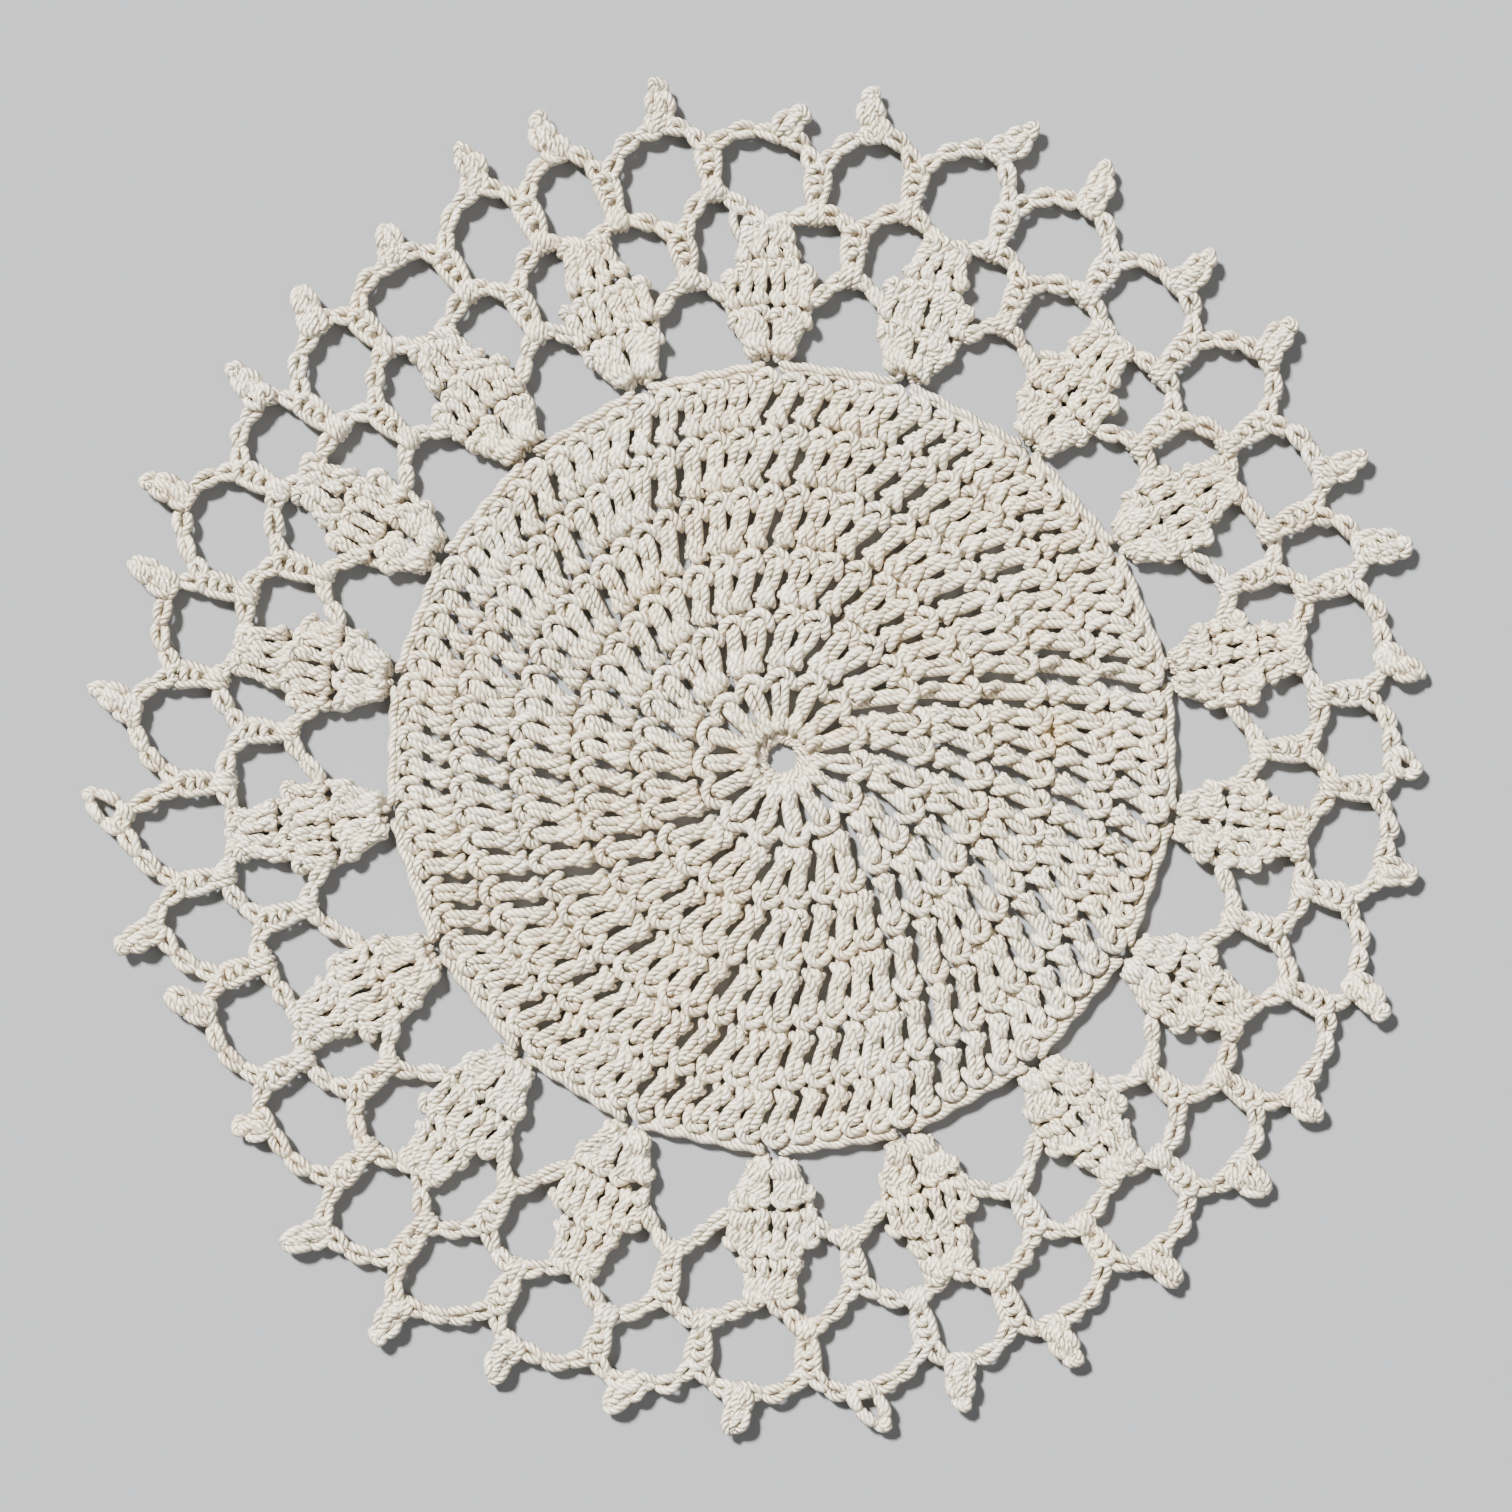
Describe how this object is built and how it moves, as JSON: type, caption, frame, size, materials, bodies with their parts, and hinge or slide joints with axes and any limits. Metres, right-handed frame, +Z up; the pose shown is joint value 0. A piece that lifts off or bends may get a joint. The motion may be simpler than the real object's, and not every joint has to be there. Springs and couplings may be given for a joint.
{
  "type": "crocheted lace doily",
  "caption": "Round crocheted doily: a close disc of ringed stitches, a ring of small fans, and an openwork edge of chain arches with picots.",
  "frame": {"origin": "centre of the bounding box, on the flat underside that the doily rests on", "axes": "+Z up, out of the right side of the work; +X to the right and +Y away, as seen from above"},
  "size_m": [0.135, 0.136, 0.0021],
  "materials": {
    "cotton_thread": "ivory mercerised cotton crochet thread with a soft gloss"
  },
  "bodies": {
    "root": {"doily": "cotton_thread"}
  },
  "joints": []
}
